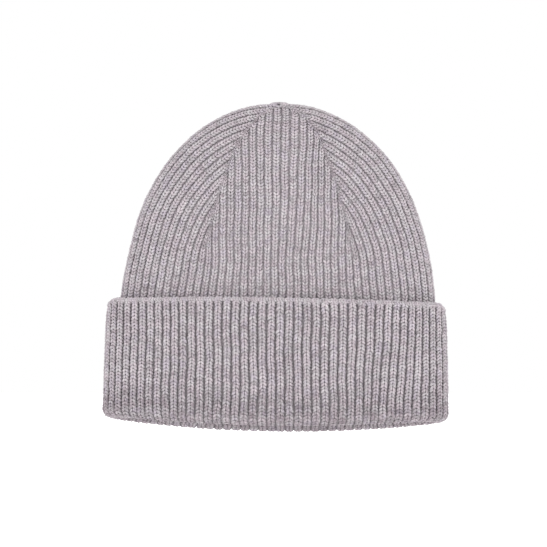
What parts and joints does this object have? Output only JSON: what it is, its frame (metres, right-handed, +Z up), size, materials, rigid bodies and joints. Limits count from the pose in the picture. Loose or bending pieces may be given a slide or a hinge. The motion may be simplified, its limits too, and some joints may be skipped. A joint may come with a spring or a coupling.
{
  "type": "knit beanie",
  "caption": "Soft ribbed knit beanie with a deep turn-up cuff, a four-gore crown that closes to a small gathered tip, and an open head cavity.",
  "frame": {"origin": "centre of the head opening, level with the middle of the front of the rim", "axes": "+Z up through the crown tip, the front of the hat faces -Y, +X towards the right of a viewer in front"},
  "size_m": [0.2194, 0.0859, 0.2114],
  "materials": {
    "rib_knit": "matte",
    "seam_yarn": "matte",
    "label_tape": "satin"
  },
  "bodies": {
    "crown": {"side_wall": "rib_knit", "centre_back_seam": "seam_yarn", "gore_front": "rib_knit", "gore_left": "rib_knit", "gore_right": "rib_knit", "gore_back_left": "rib_knit", "gore_back_right": "rib_knit", "dart_seam_front_left": "seam_yarn", "dart_seam_front_right": "seam_yarn", "dart_seam_back_left": "seam_yarn", "dart_seam_back_right": "seam_yarn", "crown_gather": "rib_knit", "closing_yarn": "seam_yarn", "care_label": "label_tape", "label_stitching": "seam_yarn"},
    "cuff": {"cuff_turn_up": "rib_knit", "cuff_back_seam": "seam_yarn", "cuff_start_edge": "rib_knit", "cuff_fold": "rib_knit"}
  },
  "joints": [
    {"name": "cuff_turn_down", "type": "slide", "parent": "crown", "child": "cuff", "axis": [0, 0, -1], "range_m": [0, 0.066]}
  ]
}
